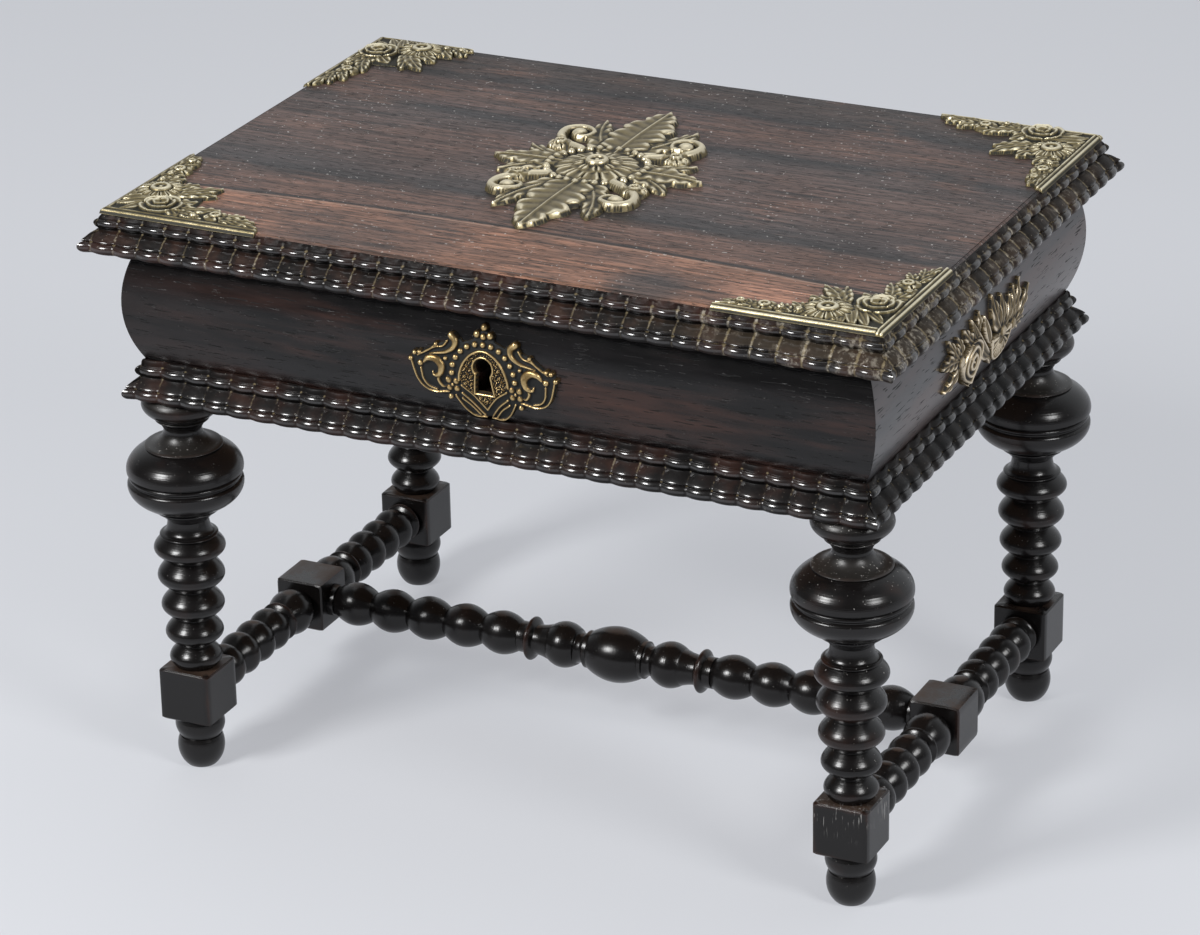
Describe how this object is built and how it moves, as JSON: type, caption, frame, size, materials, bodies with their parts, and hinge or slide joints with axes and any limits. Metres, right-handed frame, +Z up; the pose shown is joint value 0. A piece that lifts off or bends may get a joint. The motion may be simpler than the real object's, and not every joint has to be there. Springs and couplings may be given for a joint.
{
  "type": "footed box",
  "caption": "Wooden table box with a bulged case, a hinged lid with rippled mouldings and brass mounts, and a lock, on turned bead-and-ball legs joined by a turned H stretcher.",
  "frame": {"origin": "on the floor, in the middle between the four feet", "axes": "+X along the front to the right, +Y to the back, +Z up"},
  "size_m": [0.33, 0.236, 0.2419],
  "materials": {
    "rosewood": "polished dark veneer",
    "ebonised": "black polish, worn brown on edges",
    "moulding": "dark gloss polish",
    "plain_wood": "unpolished",
    "brass": "aged, dark in the hollows",
    "iron": "dull sheet iron"
  },
  "bodies": {
    "case": {"leg_front_left": "ebonised", "leg_front_right": "ebonised", "leg_back_right": "ebonised", "leg_back_left": "ebonised", "side_stretcher_left": "ebonised", "side_stretcher_right": "ebonised", "centre_stretcher": "ebonised", "case_bottom": "plain_wood", "case_front": "rosewood", "case_right": "rosewood", "case_back": "rosewood", "case_left": "rosewood", "base_moulding_front": "moulding", "base_moulding_right": "moulding", "base_moulding_back": "moulding", "base_moulding_left": "moulding", "escutcheon": "brass", "side_mount_right": "brass", "side_mount_left": "brass", "hinge_case_left": "brass", "hinge_case_right": "brass", "hinge_pin_left": "brass", "hinge_pin_right": "brass", "hinge_screw_case_left_1": "brass", "hinge_screw_case_left_2": "brass", "hinge_screw_case_right_1": "brass", "hinge_screw_case_right_2": "brass", "lock_case": "iron", "lock_cover": "iron", "lock_screw_1": "iron", "lock_screw_2": "iron"},
    "lid": {"lid_board": "rosewood", "lid_moulding_front": "moulding", "lid_moulding_right": "moulding", "lid_moulding_back": "moulding", "lid_moulding_left": "moulding", "corner_mount_front_left": "brass", "corner_mount_front_right": "brass", "corner_mount_back_right": "brass", "corner_mount_back_left": "brass", "centre_mount": "brass", "hinge_lid_left": "brass", "hinge_lid_right": "brass", "hinge_screw_lid_left_1": "brass", "hinge_screw_lid_left_2": "brass", "hinge_screw_lid_right_1": "brass", "hinge_screw_lid_right_2": "brass", "lock_keeper": "iron", "keeper_screw_1": "iron", "keeper_screw_2": "iron"},
    "bolt": {"lock_bolt": "iron"}
  },
  "joints": [
    {"name": "lid_hinge", "type": "hinge", "parent": "case", "child": "lid", "pos_m": [0, 0.107, 0.22035], "axis": [-1, 0, 0], "range_deg": [0, 95]},
    {"name": "lock_bolt_slide", "type": "slide", "parent": "case", "child": "bolt", "axis": [1, 0, 0], "range_m": [0, 0.0032]}
  ]
}
